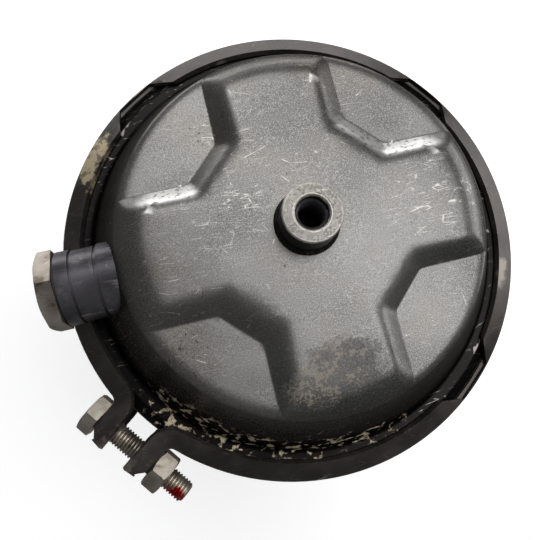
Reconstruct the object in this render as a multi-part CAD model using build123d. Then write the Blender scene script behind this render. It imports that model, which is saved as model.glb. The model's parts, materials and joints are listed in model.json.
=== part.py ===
from build123d import *

import os
from math import asin, atan, cos, degrees, radians, sin, tan

# Air brake chamber with one clamped diaphragm. Millimetres and degrees, +Z up.
# The origin is the middle of the flat mounting face. The push rod works along -Z,
# and the pressure cover is on top. The side port points along -X.

# ---- the clamped joint between the two shells ----
CLAMP_PLANE = 95.0  # middle of the diaphragm's rim, above the mounting face
BAND_RADIUS = 104.5  # outside of the clamp band
BAND_HALF_HEIGHT = 8.5  # from the clamp plane to the band's outer corner
BAND_SHEET = 2.5
BAND_LEG = 8.5  # how far a leg reaches in from the outside of the band
BAND_CORNER = 3.0  # outside bend radius between web and leg
RIM_SLOPE = 28.0  # slope of the band's legs and of both flanges
RIM_PLAY = 0.8  # from a flange's edge to the inside of the band
LAND_COVER = 0.3  # the flat land ends this far outside the free edge of the legs
LAND_WIDTH = 5.5
LAND_RADIUS = BAND_RADIUS - BAND_LEG + LAND_COVER
SKIRT_RADIUS = LAND_RADIUS - LAND_WIDTH  # steep skirt between the walls and the land
LAND_BEND = 2.5  # where the skirt turns out to the land
SEAT_GAP = 0.3  # between formed faces that seat on each other

# ---- the band's lugs, bolt and windows ----
BOLT_ANGLE = 216.3  # direction of the bolt, from +X
BOLT_STAND = 10.0  # the bolt's axis, outside the band
BOLT_RADIUS = BAND_RADIUS + BOLT_STAND
BOLT_SIZE = 10.0
BOLT_LENGTH = 50.0
BOLT_HOLE_PLAY = 0.5
HEX_10 = 17.0  # across flats of the clamp bolt and its nut
BOLT_HEAD = 6.4
NUT_HEIGHT = 8.0
LUG_BACK = 15.5  # from the middle of the gap to the back of each lug
LUG_EDGE = 7.0  # from the bolt's axis to the end of the lugs
LUG_REACH = BOLT_RADIUS + LUG_EDGE
LUG_BEND = 3.0
LUG_CORNER = 3.5
WINDOW_OFFSET = 93.3  # the two side windows, either way from the bolt
WINDOW_MOUTH = 9.3  # half angle of a window at the leg's free edge
WINDOW_ROOT = 5.3  # half angle of a window at the web
WEB_TRIM = 1.3  # web left standing outside a window

# ---- the pressed cover ----
COVER_SHEET = 3.0
CROWN_RISE = 54.5  # top of the crown, above the clamp plane
CROWN_FLAT = 14.0  # radius of the flat that carries the centre boss
CROWN_FALL = 1.4  # from the flat down to the shoulder
CROWN_SHOULDER = 16.0
PAD_RISE = 47.1  # floor of the four recessed pads, above the clamp plane
PAD_SHOULDER = 5.0
PAD_SIDE = 26.7  # half width of the raised arms between the pads
PAD_FRONT = 47.9  # a pad's inner edge, from the chamber's axis
PAD_LEAN = 40.0  # lean of a pad's walls from upright
PAD_BLEND = 6.0
SKIRT_STEP = 1.5  # from the skirt in to the foot of the tapered wall
WALL_FOOT_RADIUS = SKIRT_RADIUS - SKIRT_STEP
WALL_FOOT_RISE = 14.5
WALL_DRAFT = 14.8  # how far the wall leans in between its foot and the pads
PAD_EDGE_RADIUS = WALL_FOOT_RADIUS - WALL_DRAFT  # where a pad's floor meets the wall

# ---- ports ----
CENTRE_BOSS_RADIUS = 11.5
CENTRE_BOSS_HEIGHT = 14.8
CENTRE_BORE_RADIUS = 5.2  # inside the crests of an M12 x 1.5 thread
CENTRE_MOUTH = 1.0  # chamfer at the mouth of the bore
CENTRE_SPIGOT_RADIUS = 9.0
WELD_LEG = 1.7
PORT_RISE = 29.0  # axis of the side port, above the clamp plane
PORT_RADIUS = 15.0  # middle collar of the side boss
PORT_RING_STEP = 0.5  # how much the end rings stand out from the collar
PORT_GROOVE = 0.7
PORT_STAND = 10.2  # end face of the side boss, outside the foot of the wall
PORT_REACH = WALL_FOOT_RADIUS + PORT_STAND
PORT_RING = 5.5  # width of the ring at the end face
PORT_COLLAR = 9.1
PORT_GROOVE_WIDTH = 0.7
PORT_ROOT_GROOVE_WIDTH = 1.3
PORT_BORE_RADIUS = 11.2  # inside the crests of an M24 x 1.5 thread
PORT_SPIGOT_RADIUS = 12.5
SEAL_RING = 1.0
PLUG_FLATS = 30.0
PLUG_HEAD = 7.0
PLUG_DEPTH = 0.8  # how far the plug's stem reaches inside the foot of the wall
PLUG_STEM = SEAL_RING + PORT_STAND + PLUG_DEPTH
PLUG_TURN = 25.0  # a corner of the hexagon, from straight up
SEAL_RING_RADIUS = 14.2
FIT_GAP = 0.05  # radial gap of welded, pressed and screwed pieces

# ---- the mounting housing ----
HOUSING_SHEET = 3.0
HOUSING_STEP = 1.3  # from the skirt in to the upper end of the housing's wall
HOUSING_WALL_RADIUS = SKIRT_RADIUS - HOUSING_STEP
BASE_BEND = 10.0
GUIDE_HOLE_RADIUS = 22.0
STUD_PITCH_CIRCLE = 120.65
STUD_SIZE = 16.0
STUD_LENGTH = 38.0  # below the mounting face
STUD_HEAD_RADIUS = 11.5
STUD_HEAD = 5.0
STUD_END_CHAMFER = 1.5
STUD_NECK_RADIUS = 9.0  # press-in neck inside the housing and the stud plate
STUD_PLATE_RIM = 0.625  # sheet left outside the holes for the necks
STUD_PLATE_EDGE = 2.0  # from the stud plate to the bend of the housing's wall
STUD_PLATE_RADIUS = STUD_PITCH_CIRCLE / 2 + STUD_NECK_RADIUS + FIT_GAP + STUD_PLATE_RIM
STUD_PLATE = 4.0
BASE_RADIUS = STUD_PLATE_RADIUS + STUD_PLATE_EDGE + BASE_BEND
VENT_RADIUS = 6.0
VENT_HEIGHT = 24.0
VENT_COUNT = 4
VENT_TURN = 45.0
PLUG_CAP_RADIUS = 9.0
PLUG_CAP = 2.0
PLUG_LIP = 1.0
GUIDE_FLANGE_RADIUS = 28.0
GUIDE_FLANGE = 2.5
GUIDE_NOSE = 3.0  # how far the guide stands out below the mounting face
GUIDE_WALL = 3.0

# ---- diaphragm, push rod and spring ----
DIAPHRAGM_SHEET = 3.5
DIAPHRAGM_GAP = 1.6  # to the inside of the cover
DIAPHRAGM_TOP_GAP = 2.1  # to the underside of the pads
DIAPHRAGM_SHOULDER = 12.0
BEAD_STEP = 0.7  # from the skirt out to the inside of the bead
BEAD_INNER_RADIUS = SKIRT_RADIUS + BEAD_STEP
ROD_RADIUS = 8.0
ROD_SPIGOT_RADIUS = 6.0
ROD_COLLAR_RADIUS = 12.0
ROD_COLLAR = 4.0
ROD_END_CHAMFER = 1.5
ROD_PLAY = 0.3  # rod to guide, so that the rod can swing a little
PLATE_EDGE = 8.5  # from the push plate to the line where the pads meet the wall
PLATE_RADIUS = PAD_EDGE_RADIUS - PLATE_EDGE
PLATE_SHEET = 3.5
PLATE_RIM = 7.0
PLATE_BEVEL = 4.0
WIRE_SIZE = 5.0
SPRING_BASE_RADIUS = 42.0
SPRING_TOP_RADIUS = 22.0
SPRING_TURNS = 4.5
WIRE_SIDES = 6  # the wire's section is kept to a few flats

# ---- clevis ----
PIN_DROP = 80.0  # pin below the mounting face with the rod at rest
PIN_RADIUS = 7.0
PIN_PLAY = 0.06
FORK_WIDTH = 30.0
FORK_SLOT = 16.5
FORK_END_RADIUS = 14.0
CROTCH_HEIGHT = 20.0  # top of the slot above the pin
CLEVIS_HEIGHT = 44.0  # top of the hub above the pin
HUB_RADIUS = 13.0
HUB_HEIGHT = 14.0
ROD_INTO_CLEVIS = 20.0
LOCK_NUT_FLATS = 24.0
LOCK_NUT = 8.0
PIN_HEAD_RADIUS = 10.0
PIN_HEAD = 4.0
PIN_WASHER = 2.5
PIN_WASHER_RADIUS = 13.0
PIN_TAIL = 7.0  # pin beyond the washer
COTTER_SIZE = 4.0
COTTER_PLAY = 0.15
COTTER_EYE_RADIUS = 4.0
COTTER_PRONG = 7.0
COTTER_SPREAD = 55.0


def turned(points, radii=None):
    """Solid of revolution about Z from the corners of a half section."""
    corners = radii or [0.0] * len(points)
    outline = FilletPolyline(*points, radius=corners, close=True)
    return revolve(Plane.XZ * make_face(outline), Axis.Z)


def pressed(path, thickness):
    """Sheet of one thickness inside an open half section that runs outwards and down."""
    outline = offset(path, amount=thickness, side=Side.RIGHT, closed=True)
    return revolve(Plane.XZ * make_face(outline), Axis.Z)


def tube(outer, inner, height):
    """Ring about Z that stands on the XY plane."""
    return extrude(Circle(outer) - Circle(inner), height)


def hexagon(flats, height, both_faces=False):
    """Six-sided head or nut on the XY plane, with the corners of its far face turned off."""
    prism = extrude(RegularPolygon(flats / 2, 6, major_radius=False), height)
    corner = flats / 2 / cos(radians(30))
    bevel = (corner - flats / 2) * tan(radians(30))
    upper = [(corner, height - bevel), (flats / 2, height), (0, height)]
    lower = [(0, 0), (flats / 2, 0), (corner, bevel)] if both_faces else [(0, 0), (corner, 0)]
    return prism & turned([*lower, *upper])


# ---- forms that both shells share ----


def leg_height(radius):
    """Upper face of the band's leg, above the clamp plane."""
    return BAND_HALF_HEIGHT + (BAND_RADIUS - radius) * tan(radians(RIM_SLOPE))


def flange_height(radius, depth=0.0):
    """Outer face of a sloped flange under the band's leg, or a face at a depth below it."""
    return leg_height(radius) - (BAND_SHEET + SEAT_GAP + depth) / cos(radians(RIM_SLOPE))


FLANGE_RADIUS = BAND_RADIUS - BAND_SHEET - RIM_PLAY
RUN_OUT = BAND_RADIUS + BAND_SHEET
LAND_HEIGHT = flange_height(LAND_RADIUS)
WALL_TAPER = (WALL_FOOT_RADIUS - PAD_EDGE_RADIUS) / (PAD_RISE - WALL_FOOT_RISE)
WALL_LEAN = atan(WALL_TAPER)


def wall_radius(rise):
    """Outside of the cover's tapered wall."""
    return PAD_EDGE_RADIUS + (PAD_RISE - rise) * WALL_TAPER


def flange_points():
    """Skirt, flat land and sloped flange, as heights above the clamp plane."""
    return [(SKIRT_RADIUS, LAND_HEIGHT), (LAND_RADIUS, LAND_HEIGHT), (RUN_OUT, flange_height(RUN_OUT))]


# ---- pressure cover ----


def crown_path():
    """Outside of the cover along one of the raised arms."""
    edge_rise = CROWN_RISE - CROWN_FALL
    points = [
        (0, CROWN_RISE),
        (CROWN_FLAT, CROWN_RISE),
        (wall_radius(edge_rise), edge_rise),
        (WALL_FOOT_RADIUS, WALL_FOOT_RISE),
        *flange_points(),
    ]
    return FilletPolyline(*points, radius=[0, CROWN_SHOULDER, 0, LAND_BEND, 0])


def pad_path():
    """Outside of the cover through the middle of a recessed pad."""
    points = [
        (0, PAD_RISE),
        (PAD_EDGE_RADIUS, PAD_RISE),
        (WALL_FOOT_RADIUS, WALL_FOOT_RISE),
        *flange_points(),
    ]
    return FilletPolyline(*points, radius=[PAD_SHOULDER, 0, LAND_BEND, 0])


def filled(path, inset):
    """Solid below a half section that is first moved inwards by the inset."""
    line = offset(path, amount=inset, side=Side.RIGHT, closed=False) if inset else path
    ends = sorted(line.vertices(), key=lambda corner: corner.X)
    inner = ends[0]
    outer = ends[-1]
    base = Polyline((outer.X, outer.Y), (outer.X, 0), (0, 0), (inner.X, inner.Y))
    return revolve(Plane.XZ * make_face([*line.edges(), *base.edges()]), Axis.Z)


def pad_tool(inset):
    """Block with leaning walls over one recessed pad. The inset sinks each of its faces."""
    lean = radians(PAD_LEAN)
    widen = inset * (1 / cos(lean) - tan(lean))
    side = PAD_SIDE - widen
    reach = (PAD_FRONT - widen) * 2**0.5 - side
    far = BAND_RADIUS
    corners = [(reach, side), (far, side), (far, far), (side, far), (side, reach)]
    floor = Plane.XY.offset(PAD_RISE - inset)
    height = 2 * (CROWN_RISE - PAD_RISE)
    return extrude(floor * make_face(Polyline(*corners, close=True)), height, taper=-PAD_LEAN)


def dome(inset):
    """Filled form of the cover: a crown with four raised arms over the level of the pads."""
    crown = filled(crown_path(), inset)
    for quarter in range(4):
        crown -= Rot(0, 0, 90 * quarter) * pad_tool(inset)
    arm_rise = CROWN_RISE - CROWN_FALL - inset
    rims = crown.edges().filter_by(GeomType.LINE, reverse=True).filter_by(GeomType.CIRCLE, reverse=True)
    rims = rims.filter_by(lambda edge: edge.center().Z > (arm_rise + PAD_RISE - inset) / 2)
    return fillet(rims, PAD_BLEND - inset) + filled(pad_path(), inset)


def port_axis(shape):
    """Turns a shape from +Z to the side port's axis, which points along -X."""
    return Pos(0, 0, CLAMP_PLANE + PORT_RISE) * Rot(0, -90, 0) * shape


def raised(shape):
    return Pos(0, 0, CLAMP_PLANE) * shape


def cover_wall():
    """The pressed cover before its two port holes are cut."""
    return raised((dome(0) - dome(COVER_SHEET)) & Cylinder(FLANGE_RADIUS, 2 * CLAMP_PLANE))


def pressure_cover(wall):
    """Stamped cover with four recessed pads, a skirt and a sloped flange."""
    centre_hole = Cylinder(CENTRE_SPIGOT_RADIUS + FIT_GAP, 4 * CLAMP_PLANE)
    side_hole = port_axis(extrude(Circle(PORT_SPIGOT_RADIUS + FIT_GAP), PORT_REACH))
    return wall - centre_hole - side_hole


def centre_port_boss():
    """Threaded boss welded on the crown, with its spigot through the cover."""
    foot = CLAMP_PLANE + CROWN_RISE
    top = foot + CENTRE_BOSS_HEIGHT
    mouth = CENTRE_BORE_RADIUS + CENTRE_MOUTH
    return turned(
        [
            (CENTRE_BORE_RADIUS, foot - COVER_SHEET),
            (CENTRE_SPIGOT_RADIUS, foot - COVER_SHEET),
            (CENTRE_SPIGOT_RADIUS, foot),
            (CENTRE_BOSS_RADIUS + WELD_LEG, foot),
            (CENTRE_BOSS_RADIUS, foot + WELD_LEG),
            (CENTRE_BOSS_RADIUS, top - CENTRE_MOUTH / 2),
            (CENTRE_BOSS_RADIUS - CENTRE_MOUTH / 2, top),
            (mouth, top),
            (CENTRE_BORE_RADIUS, top - CENTRE_MOUTH),
        ]
    )


def side_port_boss(wall):
    """Grooved round boss on the tapered wall, with its spigot through the cover."""
    ring = PORT_RADIUS + PORT_RING_STEP
    groove = PORT_RADIUS - PORT_GROOVE
    neck = PORT_REACH - PORT_RING
    collar = neck - PORT_GROOVE_WIDTH
    root = collar - PORT_COLLAR
    shoulder = root - PORT_ROOT_GROOVE_WIDTH
    body = turned(
        [
            (0, 0),
            (ring, 0),
            (ring, shoulder),
            (groove, shoulder),
            (groove, root),
            (PORT_RADIUS, root),
            (PORT_RADIUS, collar),
            (groove, collar),
            (groove, neck),
            (ring, neck),
            (ring, PORT_REACH),
            (0, PORT_REACH),
        ]
    )
    outside = port_axis(body) - raised(dome(0))
    spigot = port_axis(extrude(Circle(PORT_SPIGOT_RADIUS), PORT_REACH)) & wall
    bore = port_axis(extrude(Circle(PORT_BORE_RADIUS), 2 * PORT_REACH))
    return outside + spigot - bore


def side_port_plug():
    """Hexagon plug in the side port."""
    seat = PORT_REACH + SEAL_RING
    head = Pos(0, 0, seat) * Rot(0, 0, -PLUG_TURN) * Rot(0, 0, 30) * hexagon(PLUG_FLATS, PLUG_HEAD)
    stem = Pos(0, 0, seat - PLUG_STEM) * extrude(Circle(PORT_BORE_RADIUS - FIT_GAP), PLUG_STEM)
    return port_axis(head + stem)


def plug_seal_ring():
    ring = tube(SEAL_RING_RADIUS, PORT_BORE_RADIUS + FIT_GAP, SEAL_RING)
    return port_axis(Pos(0, 0, PORT_REACH) * ring)


# ---- clamp band ----


def band_section():
    """The band's channel: x runs inwards from its outside, y is the height."""
    rise = BAND_LEG * tan(radians(RIM_SLOPE))
    path = Polyline(
        (BAND_LEG, BAND_HALF_HEIGHT + rise),
        (0, BAND_HALF_HEIGHT),
        (0, -BAND_HALF_HEIGHT),
        (BAND_LEG, -BAND_HALF_HEIGHT - rise),
    )
    channel = make_face(offset(path, amount=BAND_SHEET, side=Side.LEFT, closed=True))
    return fillet(channel.vertices().group_by(Axis.X)[0], BAND_CORNER)


def band_window(angle):
    """Notch through both legs that lets the band flex. It leaves the web standing."""
    outer = BAND_RADIUS - WEB_TRIM
    inner = BAND_RADIUS - 2 * BAND_LEG
    mouth = tan(radians(WINDOW_MOUTH)) * (BAND_RADIUS - BAND_LEG)
    root = tan(radians(WINDOW_ROOT)) * outer
    flare = (mouth - root) / (outer - BAND_RADIUS + BAND_LEG)
    wide = root + flare * (outer - inner)
    outline = Polyline((outer, root), (outer, -root), (inner, -wide), (inner, wide), close=True)
    notch = extrude(make_face(outline), 2 * BAND_HALF_HEIGHT)
    sill = BAND_HALF_HEIGHT - BAND_SHEET
    pair = Pos(0, 0, sill) * notch + Pos(0, 0, -sill - 2 * BAND_HALF_HEIGHT) * notch
    return Rot(0, 0, angle) * pair


def clamp_band():
    """Slotted two-legged band. Both ends turn outwards into lugs for the bolt."""
    centre = BAND_RADIUS + LUG_BEND
    start = degrees(asin((LUG_BACK + LUG_BEND) / centre))
    outward = Vector(cos(radians(start)), sin(radians(start)), 0)
    turn = Axis(outward * centre, (0, 0, 1))
    place = Plane(outward * BAND_RADIUS, x_dir=-outward, z_dir=outward.rotate(Axis.Z, 90))
    section = place * band_section()
    ring = revolve(section, Axis.Z, 360 - 2 * start)
    bend = revolve(section, turn, 90 - start)
    tip = section.rotate(turn, 90 - start)
    straight = extrude(tip, LUG_REACH - turn.position.X, dir=(1, 0, 0))
    block = Box(2 * LUG_CORNER, LUG_CORNER * 2**0.5, 4 * BAND_HALF_HEIGHT)
    corner = Pos(LUG_REACH, LUG_BACK, 0) * Rot(0, 0, 45) * block
    hole = Pos(BOLT_RADIUS, 0, 0) * Rot(90, 0, 0) * Cylinder(BOLT_SIZE / 2 + BOLT_HOLE_PLAY, 4 * LUG_BACK)
    lug = bend + straight - corner
    band = ring + lug + mirror(lug, Plane.XZ) - hole
    for angle in (WINDOW_OFFSET, -WINDOW_OFFSET, 180):
        band -= band_window(angle)
    return raised(Rot(0, 0, BOLT_ANGLE) * band)


def bolt_axis(shape):
    """Turns a shape from +Z to the clamp bolt, with its origin between the lugs."""
    return Rot(0, 0, BOLT_ANGLE) * Pos(BOLT_RADIUS, 0, CLAMP_PLANE) * Rot(-90, 0, 0) * shape


def clamp_bolt():
    head = Pos(0, 0, -LUG_BACK) * Rot(180, 0, 30) * hexagon(HEX_10, BOLT_HEAD)
    end = BOLT_LENGTH - LUG_BACK
    chamfer = BOLT_SIZE / 10
    radius = BOLT_SIZE / 2
    tip = [(radius, end - chamfer), (radius - chamfer, end), (0, end)]
    shank = turned([(0, -LUG_BACK), (radius, -LUG_BACK), *tip])
    return bolt_axis(head + shank)


def clamp_nut():
    bore = extrude(Circle(BOLT_SIZE / 2 + FIT_GAP), NUT_HEIGHT)
    return bolt_axis(Pos(0, 0, LUG_BACK) * (hexagon(HEX_10, NUT_HEIGHT, both_faces=True) - bore))


# ---- mounting housing ----


def cup():
    """The cup before its holes are cut. It is drawn upside down from the clamp plane."""
    path = FilletPolyline(
        (0, CLAMP_PLANE),
        (BASE_RADIUS, CLAMP_PLANE),
        (HOUSING_WALL_RADIUS, WALL_FOOT_RISE),
        *flange_points(),
        radius=[BASE_BEND, 0, LAND_BEND, 0],
    )
    trim = extrude(Circle(FLANGE_RADIUS), CLAMP_PLANE)
    return raised(mirror(pressed(path, HOUSING_SHEET) & trim, Plane.XY))


def vent_axes():
    """Places on the outside of the housing's wall, one for each vent."""
    taper = (HOUSING_WALL_RADIUS - BASE_RADIUS) / (CLAMP_PLANE - WALL_FOOT_RISE)
    radius = BASE_RADIUS + VENT_HEIGHT * taper
    lean = degrees(atan(taper))
    step = 360 / VENT_COUNT
    return [
        Rot(0, 0, VENT_TURN + step * index) * Pos(radius, 0, VENT_HEIGHT) * Rot(0, 90 + lean, 0)
        for index in range(VENT_COUNT)
    ]


def stud_places():
    return [Pos(0, STUD_PITCH_CIRCLE / 2, 0), Pos(0, -STUD_PITCH_CIRCLE / 2, 0)]


def stud_holes():
    hole = Cylinder(STUD_NECK_RADIUS + FIT_GAP, CLAMP_PLANE)
    return [place * hole for place in stud_places()]


def mounting_housing():
    """Deep cup that carries the studs, the rod guide and the lower flange."""
    vents = [axis * Cylinder(VENT_RADIUS, 6 * HOUSING_SHEET) for axis in vent_axes()]
    return cup() - [Cylinder(GUIDE_HOLE_RADIUS, CLAMP_PLANE), *stud_holes(), *vents]


def stud_plate():
    """Round plate that spreads the load of the studs over the bottom of the cup."""
    disc = Pos(0, 0, HOUSING_SHEET) * tube(STUD_PLATE_RADIUS, GUIDE_HOLE_RADIUS, STUD_PLATE)
    return disc - stud_holes()


def mounting_studs():
    """Two headed studs with press-in necks. They stand out below the mounting face."""
    radius = STUD_SIZE / 2
    seat = HOUSING_SHEET + STUD_PLATE
    stud = turned(
        [
            (0, -STUD_LENGTH),
            (radius - STUD_END_CHAMFER, -STUD_LENGTH),
            (radius, STUD_END_CHAMFER - STUD_LENGTH),
            (radius, 0),
            (STUD_NECK_RADIUS, 0),
            (STUD_NECK_RADIUS, seat),
            (STUD_HEAD_RADIUS, seat),
            (STUD_HEAD_RADIUS, seat + STUD_HEAD),
            (0, seat + STUD_HEAD),
        ]
    )
    return Compound([place * stud for place in stud_places()])


def rod_guide():
    """Moulded guide for the push rod, held in the bottom by its flange."""
    bore = ROD_RADIUS + ROD_PLAY
    hub = bore + GUIDE_WALL
    sleeve = GUIDE_HOLE_RADIUS - SEAT_GAP / 2
    seat = HOUSING_SHEET + STUD_PLATE
    web = seat + GUIDE_FLANGE - GUIDE_WALL
    return turned(
        [
            (bore, -GUIDE_NOSE),
            (hub, -GUIDE_NOSE),
            (hub, web),
            (sleeve - GUIDE_WALL, web),
            (sleeve - GUIDE_WALL, 0),
            (sleeve, 0),
            (sleeve, seat),
            (GUIDE_FLANGE_RADIUS, seat),
            (GUIDE_FLANGE_RADIUS, seat + GUIDE_FLANGE),
            (bore, seat + GUIDE_FLANGE),
        ]
    )


def vent_plugs():
    """Push-in plugs that close the vents until the chamber is fitted."""
    stem = VENT_RADIUS - FIT_GAP
    depth = HOUSING_SHEET + SEAT_GAP + PLUG_LIP / 2
    plug = turned(
        [
            (0, PLUG_CAP),
            (PLUG_CAP_RADIUS, PLUG_CAP),
            (PLUG_CAP_RADIUS, SEAT_GAP / 2),
            (stem, SEAT_GAP / 2),
            (stem, -depth),
            (stem + PLUG_LIP, -depth),
            (stem, -depth - 2 * PLUG_LIP),
            (0, -depth - 2 * PLUG_LIP),
        ]
    )
    return Compound([axis * plug for axis in vent_axes()])


# ---- diaphragm, push plate, rod and spring ----

DIAPHRAGM_TOP = CLAMP_PLANE + PAD_RISE - COVER_SHEET - DIAPHRAGM_TOP_GAP
PLATE_TOP = DIAPHRAGM_TOP - DIAPHRAGM_SHEET - SEAT_GAP
PLATE_SEAT = PLATE_TOP - PLATE_SHEET


def bead_face(sheet):
    """Corner and edge of the diaphragm's bead, SEAT_GAP clear of a flange of this thickness."""
    depth = sheet + SEAT_GAP
    corner = LAND_RADIUS - depth * tan(radians(RIM_SLOPE / 2))
    edge = FLANGE_RADIUS - RIM_PLAY
    return [(corner, LAND_HEIGHT - depth), (edge, flange_height(edge, depth))]


def diaphragm():
    """Domed rubber diaphragm with a thick wedge-shaped bead at its rim."""
    top = DIAPHRAGM_TOP - CLAMP_PLANE
    inset = (COVER_SHEET + DIAPHRAGM_GAP) / cos(WALL_LEAN)
    knee = SKIRT_RADIUS - COVER_SHEET - DIAPHRAGM_GAP
    upper = bead_face(COVER_SHEET)
    lower = bead_face(HOUSING_SHEET)
    path = FilletPolyline(
        (0, top),
        (wall_radius(top) - inset, top),
        (WALL_FOOT_RADIUS - inset, WALL_FOOT_RISE),
        (knee, upper[0][1]),
        (BEAD_INNER_RADIUS + DIAPHRAGM_SHEET, DIAPHRAGM_SHEET / 2),
        radius=[DIAPHRAGM_SHOULDER, 0, 0],
    )
    bead = turned(
        [
            (BEAD_INNER_RADIUS, upper[0][1]),
            *upper,
            (lower[1][0], -lower[1][1]),
            (lower[0][0], -lower[0][1]),
            (BEAD_INNER_RADIUS, -lower[0][1]),
        ]
    )
    return raised(pressed(path, DIAPHRAGM_SHEET) + bead)


def push_plate():
    """Pressed plate with a turned-down rim that carries the middle of the diaphragm."""
    path = Polyline(
        (0, PLATE_TOP),
        (PLATE_RADIUS - PLATE_BEVEL, PLATE_TOP),
        (PLATE_RADIUS, PLATE_TOP - PLATE_BEVEL),
        (PLATE_RADIUS, PLATE_TOP - PLATE_RIM),
    )
    return pressed(path, PLATE_SHEET) - Cylinder(ROD_SPIGOT_RADIUS + FIT_GAP, 4 * CLAMP_PLANE)


def push_rod():
    """Rod with a collar under the plate and a spigot through it."""
    end = CLEVIS_HEIGHT - PIN_DROP - ROD_INTO_CLEVIS
    return turned(
        [
            (0, PLATE_TOP),
            (ROD_SPIGOT_RADIUS, PLATE_TOP),
            (ROD_SPIGOT_RADIUS, PLATE_SEAT),
            (ROD_COLLAR_RADIUS, PLATE_SEAT),
            (ROD_COLLAR_RADIUS, PLATE_SEAT - ROD_COLLAR),
            (ROD_RADIUS, PLATE_SEAT - 2 * ROD_COLLAR),
            (ROD_RADIUS, end + ROD_END_CHAMFER),
            (ROD_RADIUS - ROD_END_CHAMFER, end),
            (0, end),
        ]
    )


def return_spring():
    """Conical spring, wide on the stud plate and narrow under the push plate."""
    low = HOUSING_SHEET + STUD_PLATE + SEAT_GAP + WIRE_SIZE / 2
    high = PLATE_SEAT - SEAT_GAP - WIRE_SIZE / 2
    cone = degrees(atan((SPRING_TOP_RADIUS - SPRING_BASE_RADIUS) / (high - low)))
    coil = Helix((high - low) / SPRING_TURNS, high - low, SPRING_BASE_RADIUS, (0, 0, low), cone_angle=cone)
    section = Plane(coil @ 0, z_dir=coil % 0) * RegularPolygon(WIRE_SIZE / 2, WIRE_SIDES)
    return sweep(section, coil, is_frenet=True)


# ---- clevis ----


def at_pin(shape):
    return Pos(0, 0, -PIN_DROP) * shape


def clevis():
    """Forged fork: two round-ended cheeks, a slot between them and a threaded hub."""
    shoulder = CLEVIS_HEIGHT - HUB_HEIGHT
    cheek = make_face(
        FilletPolyline(
            (-FORK_END_RADIUS, 0),
            (FORK_END_RADIUS, 0),
            (FORK_END_RADIUS, shoulder),
            (-FORK_END_RADIUS, shoulder),
            radius=[0, 0, FORK_SLOT / 4, FORK_SLOT / 4],
            close=True,
        )
    )
    side = Rot(90, 0, 0) * extrude(cheek + Circle(FORK_END_RADIUS), FORK_WIDTH / 2, both=True)
    slot_outline = FilletPolyline(
        (-FORK_SLOT / 2, -FORK_WIDTH),
        (FORK_SLOT / 2, -FORK_WIDTH),
        (FORK_SLOT / 2, CROTCH_HEIGHT),
        (-FORK_SLOT / 2, CROTCH_HEIGHT),
        radius=[0, 0, FORK_SLOT / 4, FORK_SLOT / 4],
        close=True,
    )
    slot = Plane.YZ * extrude(make_face(slot_outline), FORK_WIDTH, both=True)
    hub = Pos(0, 0, shoulder) * extrude(Circle(HUB_RADIUS), HUB_HEIGHT)
    bore = Pos(0, 0, CROTCH_HEIGHT) * extrude(Circle(ROD_RADIUS + FIT_GAP), CLEVIS_HEIGHT)
    eye = Rot(90, 0, 0) * Cylinder(PIN_RADIUS + PIN_PLAY, 2 * FORK_WIDTH)
    return at_pin(side + hub - slot - bore - eye)


def clevis_lock_nut():
    bore = extrude(Circle(ROD_RADIUS + FIT_GAP), LOCK_NUT)
    return at_pin(Pos(0, 0, CLEVIS_HEIGHT) * (hexagon(LOCK_NUT_FLATS, LOCK_NUT, both_faces=True) - bore))


PIN_SEAT = FORK_WIDTH / 2 + SEAT_GAP
COTTER_PLACE = PIN_SEAT + PIN_WASHER + SEAT_GAP + COTTER_SIZE / 2
PIN_END = PIN_SEAT + PIN_WASHER + PIN_TAIL


def clevis_pin():
    """Headed pin along Y with a cross hole for the cotter pin."""
    chamfer = PIN_RADIUS / 5
    shank = turned(
        [
            (0, -PIN_SEAT - PIN_HEAD),
            (PIN_HEAD_RADIUS, -PIN_SEAT - PIN_HEAD),
            (PIN_HEAD_RADIUS, -PIN_SEAT),
            (PIN_RADIUS, -PIN_SEAT),
            (PIN_RADIUS, PIN_END - chamfer),
            (PIN_RADIUS - chamfer, PIN_END),
            (0, PIN_END),
        ]
    )
    hole = Pos(0, 0, COTTER_PLACE) * Rot(0, 90, 0) * Cylinder(COTTER_SIZE / 2 + COTTER_PLAY, 4 * PIN_RADIUS)
    return at_pin(Rot(-90, 0, 0) * (shank - hole))


def pin_washer():
    ring = Pos(0, 0, PIN_SEAT) * tube(PIN_WASHER_RADIUS, PIN_RADIUS + COTTER_PLAY, PIN_WASHER)
    return at_pin(Rot(-90, 0, 0) * ring)


def cotter_pin():
    """Split pin along X, with its eye on one side and two bent prongs on the other."""
    radius = COTTER_SIZE / 2
    reach = PIN_RADIUS + radius
    shank = Rot(0, 90, 0) * Cylinder(radius, 2 * reach)
    loop = tube(COTTER_EYE_RADIUS + radius / 2, COTTER_EYE_RADIUS - radius / 2, radius)
    eye = Pos(-reach - COTTER_EYE_RADIUS + radius / 2, radius / 2, 0) * Rot(90, 0, 0) * loop
    prong = Box(radius, COTTER_SIZE, COTTER_PRONG, align=(Align.CENTER, Align.CENTER, Align.MIN))
    prongs = [
        Pos(reach - radius / 2, 0, side * radius / 2) * Rot(0, 90 - side * COTTER_SPREAD, 0) * prong
        for side in (1, -1)
    ]
    return at_pin(Pos(0, COTTER_PLACE, 0) * (shank + eye + prongs[0] + prongs[1]))


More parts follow.
